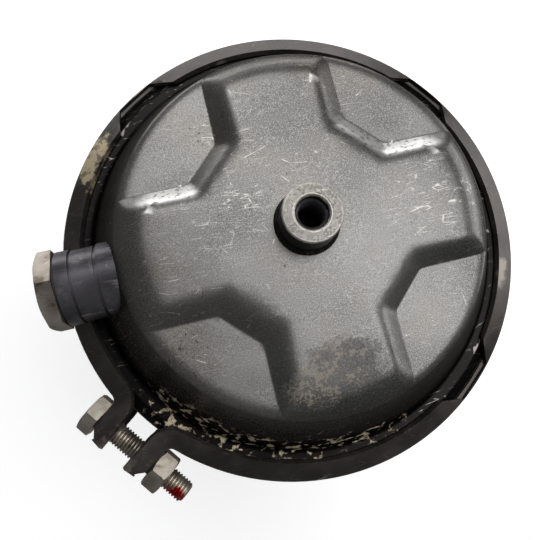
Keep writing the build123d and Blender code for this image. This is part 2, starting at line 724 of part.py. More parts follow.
def build():
    wall = cover_wall()
    return {
        "pressure_cover": pressure_cover(wall),
        "centre_port_boss": centre_port_boss(),
        "side_port_boss": side_port_boss(wall),
        "side_port_plug": side_port_plug(),
        "plug_seal_ring": plug_seal_ring(),
        "clamp_band": clamp_band(),
        "clamp_bolt": clamp_bolt(),
        "clamp_nut": clamp_nut(),
        "mounting_housing": mounting_housing(),
        "stud_plate": stud_plate(),
        "mounting_studs": mounting_studs(),
        "rod_guide": rod_guide(),
        "vent_plugs": vent_plugs(),
        "diaphragm": diaphragm(),
        "push_plate": push_plate(),
        "push_rod": push_rod(),
        "return_spring": return_spring(),
        "clevis": clevis(),
        "clevis_lock_nut": clevis_lock_nut(),
        "clevis_pin": clevis_pin(),
        "pin_washer": pin_washer(),
        "cotter_pin": cotter_pin(),
    }


os.makedirs("parts", exist_ok=True)
for name, piece in build().items():
    export_step(piece, f"parts/{name}.step")
    print(name, round(piece.volume))
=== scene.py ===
# %% [markdown]
# # An air brake chamber, dressed
# The solid model already has every piece at its true size. This script loads it as a fixed frame,
# makes finer versions of the pieces that face the viewer, and gives each piece a worn finish. The finishes
# come first, then the pressed cover, the clamp band with its bolt, the ports, and last the floor and lamps.

# %% Load the frame
import json
from math import atan2, cos, hypot, pi, radians, sin, tan

import bmesh
import bpy
from mathutils import Matrix, Vector, noise


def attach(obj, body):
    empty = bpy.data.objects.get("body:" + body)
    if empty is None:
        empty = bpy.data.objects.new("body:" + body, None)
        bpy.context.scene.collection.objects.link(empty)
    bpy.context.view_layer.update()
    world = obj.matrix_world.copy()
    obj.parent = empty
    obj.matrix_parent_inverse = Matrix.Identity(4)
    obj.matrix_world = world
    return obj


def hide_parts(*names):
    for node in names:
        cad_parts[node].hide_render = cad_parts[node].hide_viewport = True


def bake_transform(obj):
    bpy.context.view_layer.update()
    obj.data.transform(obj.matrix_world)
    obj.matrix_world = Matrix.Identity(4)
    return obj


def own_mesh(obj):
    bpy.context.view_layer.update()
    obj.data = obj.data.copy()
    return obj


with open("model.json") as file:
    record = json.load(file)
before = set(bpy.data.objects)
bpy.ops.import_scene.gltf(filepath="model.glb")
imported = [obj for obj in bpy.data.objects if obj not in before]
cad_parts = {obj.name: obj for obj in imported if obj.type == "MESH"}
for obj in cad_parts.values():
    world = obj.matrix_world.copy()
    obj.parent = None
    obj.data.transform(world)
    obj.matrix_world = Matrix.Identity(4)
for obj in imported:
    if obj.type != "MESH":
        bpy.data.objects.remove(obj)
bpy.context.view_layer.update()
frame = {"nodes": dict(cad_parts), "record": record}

# %% [markdown]
# The sizes below are the real object's, in millimetres, with heights above the mounting face. Blender works
# in metres, so every point goes through one factor, MM, on its way into a mesh.

# %% Sizes that several pieces share
MM = 0.001
CLAMP = 95.0  # height of the clamped rim
CROWN = CLAMP + 54.5
PAD = CLAMP + 47.1  # floor of the four recessed pads
SKIRT = 90.8  # outer radius where the cover's wall meets its rim
BOSS = 11.5  # radius of the centre boss
BORE = 5.9  # radius of its bore
BOSS_TOP = CROWN + 14.8
PORT_Z = CLAMP + 29.0
print("crown", CROWN, "mm, pads", PAD, "mm, side port", PORT_Z, "mm above the mounting face")

# %% [markdown]
# ## Small tools
# Most pieces of a pressed and turned product start as a profile. It could be typed in point by point with
# every bend, but the bends would then be fixed. `profile` lays down a few corners as a wire and lets the
# bevel operator round them, `spin_round` turns the wire about Z, and `finish_piece` turns the result into
# an object that rides on a body of the frame.


# %% Modelling tools
def mm(*values):
    """Point or size in millimetres as a vector in metres."""
    return Vector(values) * MM


def profile(bm, corners, radii=(), segments=5):
    """Wire in the XZ plane from corners in millimetres, each with its own bend radius."""
    points = [bm.verts.new(mm(x, 0, z)) for x, z in corners]
    for a, b in zip(points, points[1:]):
        bm.edges.new((a, b))
    for point, radius in zip(points, radii):
        if radius:
            ends = [edge.other_vert(point).co - point.co for edge in point.link_edges]
            half = ends[0].angle(ends[1]) / 2
            reach = radius * MM / tan(half)
            bmesh.ops.bevel(
                bm, geom=[point], offset=reach, offset_type="OFFSET", affect="VERTICES",
                segments=segments, profile=0.5, material=-1,
            )
    return bm.verts[:], bm.edges[:]


def spin_round(bm, steps):
    """Full turn about Z of all that the bmesh holds."""
    bmesh.ops.spin(
        bm, geom=bm.verts[:] + bm.edges[:], cent=(0, 0, 0), axis=(0, 0, 1), angle=2 * pi, steps=steps,
        use_merge=True,
    )


def finish_piece(bm, name, body, slot, replaced=(), sharp=32, look=None):
    """Object from a bmesh, smooth except at sharp edges, riding on a body unless body is None.

    It has its slot's finish unless look names another one.
    """
    bmesh.ops.remove_doubles(bm, verts=bm.verts, dist=1e-6)
    bmesh.ops.recalc_face_normals(bm, faces=bm.faces)
    mesh = bpy.data.meshes.new(name)
    bm.to_mesh(mesh)
    bm.free()
    piece = bpy.data.objects.new(name, mesh)
    bpy.context.collection.objects.link(piece)
    mesh.shade_smooth()
    mesh.set_sharp_from_angle(angle=radians(sharp))
    mesh.materials.append(looks[look or slot])
    if body:
        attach(piece, body)
    if replaced:
        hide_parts(*replaced)
    print(name, len(mesh.polygons), "faces")
    return piece


# %% [markdown]
# A piece of the solid model that only needs softer edges could be modelled again, with the risk that it no
# longer fits. It is copied instead. The copy's loose triangles are merged and its flat faces joined, and a
# Bevel modifier then rounds what is sharp, as rolling and paint do.


# %% Copies of the solid model's pieces
def merged_copy(node):
    """Bmesh of a node with its triangles joined up and its flat faces made whole."""
    bm = bmesh.new()
    bm.from_mesh(frame["nodes"][node].data)
    bmesh.ops.remove_doubles(bm, verts=bm.verts, dist=2e-6)
    bmesh.ops.dissolve_limit(bm, angle_limit=radians(0.4), verts=bm.verts, edges=bm.edges, delimit=set())
    return bm


def soft_copy(node, name, body, width):
    """Copy of a node with its sharp edges rounded over a width in millimetres."""
    piece = finish_piece(merged_copy(node), name, body, slot_of[node], [node], sharp=40)
    edge = piece.modifiers.new("edge", "BEVEL")
    edge.width = width * MM
    edge.segments = 2
    edge.limit_method = "ANGLE"
    edge.angle_limit = radians(35)
    edge.harden_normals = False
    return piece


# %% [markdown]
# ## Finishes
# A used brake chamber shows the same few effects on every part: rubbed edges, hair-fine scratches, specks
# of dirt and a little waviness in the paint. They could be painted as pictures, but a picture has one size
# and one seam. Each effect here is one node group that reads the place on the object, built once and put in
# every finish with its own values. The groups only put out masks and heights; each material keeps its own
# shader.


# %% Node tools
class Nodes:
    """Short way to add nodes and links to one node tree."""

    def __init__(self, tree):
        self.tree = tree

    def add(self, kind, inputs=None, **settings):
        """Node of a kind, with each input given as a value or as a socket to link."""
        node = self.tree.nodes.new(kind)
        for key, value in settings.items():
            setattr(node, key, value)
        for key, value in (inputs or {}).items():
            self.feed(node.inputs[key], value)
        return node

    def feed(self, socket, value):
        if isinstance(value, bpy.types.NodeSocket):
            self.tree.links.new(value, socket)
        else:
            socket.default_value = value

    def math(self, operation, a, b=0.0, clamp=False):
        return self.add("ShaderNodeMath", {0: a, 1: b}, operation=operation, use_clamp=clamp).outputs[0]

    def plus(self, a, b, clamp=False):
        return self.math("ADD", a, b, clamp)

    def less(self, a, b, clamp=False):
        return self.math("SUBTRACT", a, b, clamp)

    def times(self, a, b, clamp=False):
        return self.math("MULTIPLY", a, b, clamp)

    def place(self):
        """Place on the object, in metres."""
        return self.add("ShaderNodeTexCoord").outputs["Object"]

    def apart(self, vector):
        """The three parts of a vector, by their letters."""
        return self.add("ShaderNodeSeparateXYZ", {0: vector}).outputs

    def length(self, vector):
        return self.add("ShaderNodeVectorMath", {0: vector}, operation="LENGTH").outputs["Value"]

    def mapping(self, vector, rotation, scale, location=(0, 0, 0)):
        inputs = {"Vector": vector, "Rotation": rotation, "Scale": scale, "Location": location}
        return self.add("ShaderNodeMapping", inputs).outputs[0]

    def noise(self, vector, scale, detail=3.0, roughness=0.5):
        inputs = {"Vector": vector, "Scale": scale, "Detail": detail, "Roughness": roughness}
        return self.add("ShaderNodeTexNoise", inputs).outputs["Fac"]

    def net(self, vector):
        """Distance to the nearest edge between cells: nought along a net of lines."""
        inputs = {"Vector": vector, "Scale": 1.0}
        return self.add("ShaderNodeTexVoronoi", inputs, feature="DISTANCE_TO_EDGE").outputs["Distance"]

    def span(self, value, low, high):
        """Smooth step that is 0 up to one value and 1 from the other."""
        inputs = {0: value, 1: low, 2: high}
        return self.add("ShaderNodeMapRange", inputs, interpolation_type="SMOOTHSTEP").outputs[0]

    def most(self, first, *others):
        """The largest of several masks."""
        for other in others:
            first = self.math("MAXIMUM", first, other, clamp=True)
        return first

    def mix(self, factor, a, b):
        """Colour between two others. A colour is three numbers or a socket."""
        node = self.add("ShaderNodeMix", {0: factor}, data_type="RGBA")
        for index, value in ((6, a), (7, b)):
            self.feed(node.inputs[index], value if isinstance(value, bpy.types.NodeSocket) else (*value, 1.0))
        return node.outputs[2]

    def layer(self, shade, mask, strength, colour):
        """Shade with a colour laid over it where a mask says, up to a strength."""
        return self.mix(self.times(mask, strength), shade, colour)

    def bump(self, height, under=None):
        """Normal from a height in metres, over another normal if one is given."""
        inputs = {"Height": height, "Distance": 1.0, "Strength": 1.0}
        if under is not None:
            inputs["Normal"] = under
        return self.add("ShaderNodeBump", inputs).outputs[0]


# %% Node groups and their use
def group(name, inputs, outputs, build):
    """Node group with named sockets. build gets the tools and the input sockets and returns the outputs."""
    tree = bpy.data.node_groups.new(name, "ShaderNodeTree")
    for label, value in inputs.items():
        kind = "NodeSocketVector" if isinstance(value, tuple) else "NodeSocketFloat"
        socket = tree.interface.new_socket(label, in_out="INPUT", socket_type=kind)
        socket.default_value = value
    for label in outputs:
        tree.interface.new_socket(label, in_out="OUTPUT", socket_type="NodeSocketFloat")
    n = Nodes(tree)
    start = n.add("NodeGroupInput").outputs
    made = build(n, {label: start[label] for label in inputs})
    n.add("NodeGroupOutput", dict(zip(outputs, made)))
    print("node group", name)
    return tree


def use(n, tree, output="Mask", **inputs):
    """One output of a node group, or all of them if output is None. A label's spaces are written as _."""
    node = n.add("ShaderNodeGroup", node_tree=tree)
    for label, value in inputs.items():
        n.feed(node.inputs[label.replace("_", " ")], value)
    return node.outputs[output] if output else node.outputs


# %% [markdown]
# ### Fine scratches
# Years of handling leave straight hair lines in a few directions. A stretched noise gives soft streaks, not
# lines. The edges between long narrow cells are thin and straight, so each direction is such a net, and a
# slow noise hides most of it, so that only short pieces of line are left.

# %% Node group: fine scratches
# Each set has its turn in radians, how dense its cells are along and across it, and where the noise shows it.
SCRATCH_SETS = ((0.35, 26, 170, 0.33), (1.2, 38, 230, 0.42), (2.1, 30, 200, 0.50), (2.75, 44, 300, 0.60))


def build_scratches(n, given):
    place = n.place()
    hidden = n.noise(place, 34.0, 3.0, 0.65)
    few, many = [], []
    for number, (turn, along, across, centre) in enumerate(SCRATCH_SETS):
        turned = n.mapping(place, (0.15 * number, 0.1, turn), (along, across, 70.0), (0.5 * number, 0.3, 0.0))
        line = n.span(n.net(turned), n.times(given["Width"], across * 0.35), 0.0)
        shown = n.span(n.math("ABSOLUTE", n.less(hidden, centre)), given["Amount"], 0.0)
        few.append(n.times(line, shown))
        many.append(line)
    return n.most(*few), n.most(*many)


scratches = group("Fine scratches", {"Amount": 0.08, "Width": 0.00022}, ["Mask", "Dense"], build_scratches)


# %% [markdown]
# ### Rubbed edges, specks and places
# Paint wears first where an edge sticks out, which the renderer knows as pointiness. Dirt sits in small
# spots that gather in clouds. Some marks are at one place only, so a third group makes a soft spot round a
# point, with an uneven edge.


# %% Node group: rubbed edges
def build_wear(n, given):
    edge = n.add("ShaderNodeNewGeometry").outputs["Pointiness"]
    broken = n.noise(n.place(), given["Scale"], 6.0, 0.7)
    lifted = n.plus(edge, n.times(n.less(broken, 0.5), given["Breakup"]))
    return (n.span(lifted, given["Start"], given["End"]),)


WEAR = {"Scale": 180.0, "Breakup": 0.16, "Start": 0.54, "End": 0.6}
edge_wear = group("Rubbed edges", WEAR, ["Mask"], build_wear)


# %% Node group: specks and blotches
def build_specks(n, given):
    place = n.place()
    spots = n.noise(place, given["Scale"], 5.0, 0.65)
    cloud = n.noise(place, given["Cloud"], 3.0, 0.6)
    level = n.plus(spots, n.times(n.less(cloud, 0.5), 0.8))
    return n.span(level, given["Threshold"], n.plus(given["Threshold"], 0.03)), cloud


SPECKS = {"Scale": 420.0, "Cloud": 28.0, "Threshold": 0.7}
specks = group("Specks", SPECKS, ["Mask", "Cloud"], build_specks)


# %% Node group: a place on the surface
def build_place(n, given):
    place = n.place()
    away = n.add("ShaderNodeVectorMath", {0: place, 1: given["Centre"]}, operation="SUBTRACT").outputs[0]
    spread = n.add("ShaderNodeVectorMath", {0: away, 1: given["Size"]}, operation="DIVIDE").outputs[0]
    uneven = n.times(n.less(n.noise(place, given["Grain"], 5.0, 0.7), 0.5), given["Ragged"])
    return (n.span(n.plus(n.length(spread), uneven), 1.1, 0.6),)


SPOT = {"Centre": (0.0, 0.0, 0.0), "Size": (0.01, 0.01, 0.01), "Grain": 150.0, "Ragged": 0.8}
spot = group("Place on the surface", SPOT, ["Mask"], build_place)


def spots_at(n, points, **settings):
    """One mask from several places, each a centre and a reach in millimetres."""
    return n.most(*[use(n, spot, Centre=mm(*c), Size=mm(*s), **settings) for c, s in points])


# %% [markdown]
# ### Paint texture
# Sprayed paint has a fine orange peel, and pressed sheet under it is never quite flat. The group gives their
# height for a Bump node and both noises by themselves, so that colour and gloss can drift with the waves.


# %% Node group: paint texture
def build_grain(n, given):
    place = n.place()
    fine = n.noise(place, given["Fine"], 2.0, 0.6)
    slow = n.noise(place, given["Slow"], 2.0, 0.4)
    height = n.plus(n.times(fine, given["Fine height"]), n.times(slow, given["Slow height"]))
    return height, fine, slow


GRAIN = {"Fine": 900.0, "Slow": 60.0, "Fine height": 0.00002, "Slow height": 0.0002}
grain = group("Paint grain", GRAIN, ["Height", "Fine", "Slow"], build_grain)


# %% Material tools
def material(name, build):
    """Material with one shader. build gets the tools and returns values for the shader's sockets."""
    made = bpy.data.materials.new(name)
    made.use_nodes = True
    made.node_tree.nodes.clear()
    n = Nodes(made.node_tree)
    shader = n.add("ShaderNodeBsdfPrincipled", build(n))
    n.add("ShaderNodeOutputMaterial", {"Surface": shader.outputs[0]})
    print("material", name)
    return made


# %% [markdown]
# ## Dark paint on the pressed cover
# The cover is pressed steel under dark semi-gloss paint. It has been handled for years: hair scratches in
# patches, pale scuffs where it lay on a floor, and paint flaking low on the wall. Its colour also holds
# painted
# light: the wall turns darker and browner towards its foot, partly a brown tint and partly painted shade, the
# foot of the wall and the rim are painted near black as shade, the low wall on the lower side is painted near
# black as shade round the flakes, and the pad walls that face the lamp behind the part get a painted
# highlight.
# One colour with one noise would look like plastic, so the masks that say where come first, and then the
# colours go over each other, the real marks in the order in which they happened.

# %% Cover paint: where it is worn and dirty, and where shade and a highlight are painted
# Each place is a centre and a reach in millimetres.
SCUFFED_AT = [((54, -4, 149), (22, 14, 9)), ((56, 17, 149), (14, 10, 9)), ((-30, 12, 149), (20, 18, 8))]
DUSTY_AT = [((0, -56, 148), (16, 11, 9)), ((-12, -62, 147), (14, 9, 9))]
# Low places on the lower side of the wall: painted shade, near black, with pale paint flakes torn in it.
FLAKING_AND_SHADE_AT = [
    ((-62, -60, 112), (26, 16, 12)),
    ((-40, -76, 110), (24, 12, 11)),
    ((-10, -86, 110), (26, 9, 11)),
    ((16, -87, 110), (16, 8, 9)),
]


def cover_masks(n, place):
    """Masks that the cover's colour, gloss and relief share, by name."""
    lines = use(n, scratches, None, Amount=0.024, Width=0.00017)
    patches = n.plus(n.times(n.span(n.noise(place, 26.0, 2.0), 0.46, 0.62), 0.65), 0.22)
    # Painted highlight: the pad walls that face the lamp behind the part, as the mesh marks them.
    walls = n.add("ShaderNodeAttribute", attribute_name="painted_wall_highlight").outputs["Fac"]
    broken = n.span(n.noise(place, 210.0, 3.0, 0.6), 0.45, 0.62)
    scuffed = n.times(spots_at(n, SCUFFED_AT, Ragged=2.2), broken)
    dusty = spots_at(n, DUSTY_AT, Grain=200.0, Ragged=1.8)
    # Painted shade on the low wall of the lower side, and the region where the paint flakes.
    flaking_and_shade = spots_at(n, FLAKING_AND_SHADE_AT, Grain=260.0, Ragged=2.2)
    flakes = n.net(n.mapping(place, (0, 0, 0.6), (120, 190, 150)))
    return {
        "hair": n.times(lines["Mask"], patches),
        "scuffed": n.times(scuffed, lines["Dense"]),
        # Painted highlight on the pad walls that face the back lamp, broken up by noise.
        "painted_highlight": n.times(walls, n.span(n.noise(place, 520.0, 4.0, 0.7), 0.30, 0.5)),
        "worn": use(n, edge_wear, Scale=260.0, Breakup=0.1, Start=0.52, End=0.56),
        "dusty": dusty,
        "dust": n.times(dusty, use(n, specks, Scale=900.0, Cloud=200.0, Threshold=0.52)),
        "flaking_and_shade": flaking_and_shade,
        "torn": n.times(flaking_and_shade, n.span(n.plus(flakes, n.noise(place, 300.0, 4.0)), 0.56, 0.48)),
    }


# %% Cover paint: colours over each other
def cover_colour(n, place, paint, sand, at):
    height = n.apart(place)["Z"]
    flecks = use(n, specks, None, Scale=520.0, Cloud=26.0, Threshold=0.74)
    broad = n.plus(n.times(paint["Slow"], 0.4), n.times(n.noise(place, 13.0, 2.0), 0.6))
    shade = n.mix(n.span(broad, 0.36, 0.62), (0.066, 0.065, 0.062), (0.132, 0.130, 0.125))
    shade = n.layer(shade, n.span(flecks["Cloud"], 0.45, 0.7), 0.6, (0.115, 0.098, 0.084))
    # The wall turns darker and browner towards its foot: partly a brown tint of the paint, partly painted
    # shade.
    shade = n.mix(n.span(height, 143 * MM, 120 * MM), shade, (0.038, 0.029, 0.026))
    pitted = n.mix(n.span(sand, 0.45, 0.15), shade, (0.03, 0.03, 0.03))
    shade = n.mix(n.span(sand, 0.42, 0.75), pitted, (0.22, 0.215, 0.21))
    # Painted shade: the lowest part of the wall and the whole rim made near black, in the corner and under
    # the band.
    shade = n.mix(n.span(height, 119 * MM, 109 * MM), shade, (0.010, 0.009, 0.009))
    layers = [
        (at["worn"], 0.5, (0.28, 0.26, 0.24)),
        # Painted highlight: the lit pad walls made nearly white, standing for the lamp's reflection.
        (at["painted_highlight"], 0.9, (0.72, 0.715, 0.70)),
        (at["scuffed"], 0.75, (0.50, 0.485, 0.45)),
        (at["dust"], 0.4, (0.36, 0.31, 0.23)),
        (at["hair"], 1.0, (0.50, 0.49, 0.46)),
        (flecks["Mask"], 0.8, (0.008, 0.008, 0.009)),
        # Painted shade: the low wall on the lower side made near black round the flakes.
        (at["flaking_and_shade"], 0.7, (0.012, 0.010, 0.009)),
        (at["torn"], 0.95, (0.62, 0.53, 0.38)),
    ]
    for mask, strength, colour in layers:
        shade = n.layer(shade, mask, strength, colour)
    return shade


# %% Cover paint: gloss, relief and the whole finish
def build_cover(n):
    place = n.place()
    paint = use(n, grain, None, Fine=1500.0, Slow=38.0, Fine_height=0.000012, Slow_height=0.00025)
    sand = n.noise(place, 2300.0, 2.0, 0.7)
    at = cover_masks(n, place)
    rough = n.plus(0.27, n.times(paint["Slow"], 0.10))
    rough = n.plus(rough, n.times(n.most(at["dusty"], at["torn"]), 0.3), clamp=True)
    low_on_wall = n.span(n.apart(place)["Z"], 146 * MM, 124 * MM)
    return {
        "Base Color": cover_colour(n, place, paint, sand, at),
        "Roughness": n.plus(rough, n.times(sand, 0.08), clamp=True),
        "Metallic": n.less(0.85, n.times(n.most(at["torn"], at["dust"]), 0.8), clamp=True),
        "Normal": n.bump(n.times(at["torn"], -0.00012), under=n.bump(paint["Height"])),
        "Coat Weight": n.times(n.less(1.0, low_on_wall, clamp=True), 0.12),
        "Coat Roughness": 0.25,
        "Specular Tint": (0.12, 0.11, 0.10, 1.0),
    }


# %% [markdown]
# ## The other finishes
# Painted, bare and soft pieces differ in their colours, gloss and wear, and less in how they are made. A
# recipe takes those values and gives back the function that builds the nodes, so that a new finish is one
# line in a table. Stains that sit at one place, as the paint flakes on the band and the red mark on the
# bolt's end, are given with it.

# %% Recipes: stains, paint and bare metal
SCRATCH_DEPTH = 0.00002  # metres


def marked(n, shade, marks):
    """Stains over a shade: each has a colour and its places in millimetres."""
    for colour, points in marks:
        torn = use(n, specks, Scale=420.0, Cloud=150.0, Threshold=0.46)
        stain = n.times(spots_at(n, points, Grain=320.0, Ragged=1.8), n.plus(torn, 0.35), clamp=True)
        shade = n.mix(stain, shade, colour)
    return shade


def painted(dark, light, wear_colour, rough, scratched=0.5, wear=0.5, marks=()):
    """Recipe for a painted piece, between a dark and a light shade, rubbed through at its edges."""

    def build(n):
        paint = use(n, grain, None, Fine=1200.0, Slow=70.0, Fine_height=0.000008, Slow_height=0.00012)
        lines = use(n, scratches, Amount=scratched * 0.08)
        dots = use(n, specks, Scale=480.0, Cloud=40.0, Threshold=0.72)
        shade = n.mix(n.span(paint["Slow"], 0.35, 0.65), dark, light)
        shade = n.layer(shade, use(n, edge_wear), wear, wear_colour)
        shade = n.layer(shade, lines, 0.2, wear_colour)
        shade = n.layer(shade, dots, 0.5, tuple(c * 0.35 for c in dark))
        return {
            "Base Color": marked(n, shade, marks),
            "Roughness": n.plus(rough, n.times(paint["Slow"], 0.15)),
            "Metallic": 0.6,
            "Normal": n.bump(n.less(paint["Height"], n.times(lines, SCRATCH_DEPTH))),
        }

    return build


def bare(dark, light, rough, stained=0.35, marks=()):
    """Recipe for plated or machined steel, with brown stains in blotches."""
    stain = (0.12, 0.085, 0.055)

    def build(n):
        metal = use(n, grain, None, Fine=1500.0, Slow=120.0, Fine_height=0.00001, Slow_height=0.00005)
        lines = use(n, scratches, Amount=0.05)
        blots = use(n, specks, None, Scale=260.0, Cloud=110.0, Threshold=0.62)
        shade = n.mix(n.span(metal["Slow"], 0.3, 0.7), dark, light)
        shade = n.layer(shade, n.span(blots["Cloud"], 0.45, 0.75), stained, stain)
        shade = n.layer(shade, blots["Mask"], 0.5, tuple(c * 0.5 for c in stain))
        shade = n.layer(shade, lines, 0.5, tuple(min(1.0, c * 1.5) for c in light))
        return {
            "Base Color": marked(n, shade, marks),
            "Roughness": n.plus(rough, n.times(metal["Slow"], 0.2)),
            "Metallic": 0.9,
            "Normal": n.bump(n.less(metal["Height"], n.times(lines, SCRATCH_DEPTH))),
        }

    return build


# %% Recipes: faced boss, rubber and plastic
def faced(n):
    """Blackened round boss whose end was turned bare, with bright rims and a speckled face."""
    place = n.place()
    part = n.apart(place)
    out = n.length(n.add("ShaderNodeCombineXYZ", {0: part["X"], 1: part["Y"]}).outputs[0])
    ragged = n.times(n.less(n.noise(place, 420.0, 5.0, 0.7), 0.5), 0.0011)
    face = n.span(n.plus(part["Z"], ragged), (BOSS_TOP - 0.75) * MM, (BOSS_TOP - 0.35) * MM)
    rim_out = n.span(n.plus(out, ragged), (BOSS - 0.95) * MM, (BOSS - 0.6) * MM)
    rim_in = n.span(n.plus(out, ragged), (BORE + 1.6) * MM, (BORE + 1.3) * MM)
    rims = n.times(n.most(rim_out, rim_in), face)
    dots = use(n, specks, None, Scale=1100.0, Cloud=300.0, Threshold=0.57)
    skin = n.mix(n.span(dots["Cloud"], 0.35, 0.65), (0.14, 0.135, 0.125), (0.24, 0.23, 0.21))
    skin = n.layer(skin, dots["Mask"], 0.5, (0.05, 0.047, 0.043))
    skin = n.layer(skin, rims, 0.5, (0.5, 0.48, 0.43))
    skin = n.layer(skin, use(n, scratches, Amount=0.06), 0.4, (0.45, 0.44, 0.41))
    black = n.layer((0.016, 0.015, 0.015), dots["Mask"], 0.5, (0.10, 0.09, 0.08))
    tool_marks = n.times(n.math("SINE", n.times(out, 9000.0)), 0.000012)
    return {
        "Base Color": n.mix(face, black, skin),
        "Roughness": n.plus(0.36, n.times(dots["Cloud"], 0.15)),
        "Metallic": 0.85,
        "Normal": n.bump(n.plus(tool_marks, n.times(dots["Mask"], -0.00004))),
    }


def soft(dark, light, rough):
    """Recipe for rubber and moulded plastic."""

    def build(n):
        skin = use(n, grain, None, Fine=1100.0, Slow=90.0, Fine_height=0.00002, Slow_height=0.00008)
        dust = use(n, specks, None, Scale=380.0, Cloud=60.0, Threshold=0.7)
        shade = n.mix(n.span(skin["Slow"], 0.35, 0.65), dark, light)
        shade = n.layer(shade, n.span(dust["Cloud"], 0.5, 0.8), 0.3, (0.16, 0.145, 0.12))
        return {
            "Base Color": shade,
            "Roughness": n.plus(rough, n.times(skin["Fine"], 0.15)),
            "Normal": n.bump(skin["Height"]),
        }

    return build


# %% The table of finishes
FLAKES_ON_BAND = [((-78, 64, 105), (8, 9, 6)), ((-83, 55, 104), (6, 10, 6)), ((-80, 46, 105), (6, 7, 6))]
RED_ON_BOLT = [((-77.0, -94.5, 96), (5.5, 5.5, 7))]
finishes = {
    "housing_paint": painted((0.05, 0.05, 0.052), (0.075, 0.075, 0.077), (0.3, 0.28, 0.25), 0.36),
    "band_paint": painted(
        (0.035, 0.031, 0.029), (0.06, 0.053, 0.049), (0.32, 0.28, 0.24), 0.34, scratched=0.6, wear=0.7,
        marks=[((0.50, 0.42, 0.28), FLAKES_ON_BAND)],
    ),
    "boss_steel": faced,
    "port_black": painted(
        (0.045, 0.042, 0.048), (0.08, 0.075, 0.084), (0.3, 0.28, 0.27), 0.27, scratched=0.7, wear=0.7,
    ),
    "plug_steel": bare((0.20, 0.175, 0.15), (0.36, 0.32, 0.28), 0.3, stained=0.6),
    "bolt_zinc": bare(
        (0.26, 0.235, 0.20), (0.46, 0.42, 0.36), 0.34, stained=0.55,
        marks=[((0.42, 0.008, 0.01), RED_ON_BOLT)],
    ),
    "stud_zinc": bare((0.4, 0.37, 0.31), (0.58, 0.55, 0.48), 0.3),
    "plate_steel": bare((0.3, 0.3, 0.3), (0.45, 0.45, 0.45), 0.35),
    "rod_steel": bare((0.4, 0.4, 0.4), (0.55, 0.55, 0.55), 0.25),
    "spring_steel": painted((0.015, 0.015, 0.017), (0.03, 0.03, 0.032), (0.15, 0.14, 0.13), 0.4),
    "clevis_steel": bare((0.36, 0.33, 0.27), (0.52, 0.48, 0.40), 0.35),
    "seal_rubber": soft((0.008, 0.008, 0.008), (0.016, 0.016, 0.016), 0.6),
    "diaphragm_rubber": soft((0.010, 0.010, 0.011), (0.02, 0.02, 0.021), 0.65),
    "black_plastic": soft((0.009, 0.009, 0.010), (0.017, 0.017, 0.018), 0.5),
}
looks = {slot: material(slot + "_worn", build) for slot, build in finishes.items()}
looks["cover_paint"] = material("cover_paint_dark", build_cover)
slot_of = {row["node"]: row["material_slot"] for row in frame["record"]["subparts"]}
for node, piece in frame["nodes"].items():
    for holder in piece.material_slots:
        holder.material = looks[slot_of[node]]
print("finishes:", len(looks))

# %% [markdown]
# ## The pressed cover
# The real cover starts as a flat disc of 3 mm sheet and is pressed in a die: a tapered cup with a crown,
# four recessed pads and a rolled-out rim. Cutting the pads out of a solid would leave hard seams and an
# uneven sheet. The mesh goes the way of the sheet instead. A profile is spun into a plain cup with a fine
# grid, the pads are pressed in by moving its vertices, and Solidify gives the sheet its thickness.

# %% Cover: spin the plain cup
CROWN_HOLE = 9.2
CROWN_FLAT = 14  # radius of the flat ring round the boss
CROWN_FALL = 1.4  # how much lower the crown is at its shoulder
PAD_EDGE = 74.5  # radius of the wall at the pads' height
WALL_FOOT = (89.3, CLAMP + 14.5)
LAND = 96.3  # outer radius of the rim's level ring
LAND_TOP = CLAMP + 9.75
FLANGE = 101.2  # outer radius of the whole rim, which slopes down beyond the ring
RIM_SLOPE = radians(28)
TAPER = (WALL_FOOT[0] - PAD_EDGE) / (PAD - WALL_FOOT[1])
SHOULDER = (PAD_EDGE - (CROWN - CROWN_FALL - PAD) * TAPER, CROWN - CROWN_FALL)
cover = bmesh.new()
profile(
    cover,
    [
        (CROWN_HOLE, CROWN), (CROWN_FLAT, CROWN), SHOULDER, WALL_FOOT, (SKIRT, LAND_TOP), (LAND, LAND_TOP),
        (FLANGE, LAND_TOP - (FLANGE - LAND) * tan(RIM_SLOPE)),
    ],
    [0, 0, 16, 4, 2.2, 1.5, 0],
    segments=8,
)
for length in (8.0, 4.0, 2.0, 1.1):
    long_edges = [edge for edge in cover.edges if edge.calc_length() > length * MM]
    bmesh.ops.subdivide_edges(cover, edges=long_edges, cuts=1)
spin_round(cover, 384)
print("cup", len(cover.verts), "vertices")

# %% [markdown]
# Every vertex of the crown moves on a straight line towards one point on the axis, the heart, so the grid
# never folds. The distance at which its line meets each surface of the die is known: the pads' floors, their
# leaning walls, the crown and the cup's tapered wall. A pad reaches to the nearer of its floor and the taper,
# an arm to the nearer of its walls and the crown, and the sheet lies at the farther of the two. A soft
# minimum or maximum gives the bend where two surfaces meet.

# %% Cover: how far the die presses
PAD_SIDE = 26.7  # distance of a pad's two side walls from the axis, at the floor
PAD_FRONT = 47.9  # the same of its inner wall
PAD_LEAN = radians(49)  # of the pads' walls against the level
PAD_SLOPE = 1 / tan(PAD_LEAN)
HEART = WALL_FOOT[1]
DEPTH = PAD - HEART
CREASE_BEND, CORNER_BEND, TOP_BEND, EDGE_BEND = 0.45, 1.2, 3.6, 4.6


def soft_min(a, b, reach):
    near = max(reach - abs(a - b), 0.0) / reach
    return min(a, b) - near * near * reach / 4


def soft_max(a, b, reach):
    return -soft_min(-a, -b, reach)


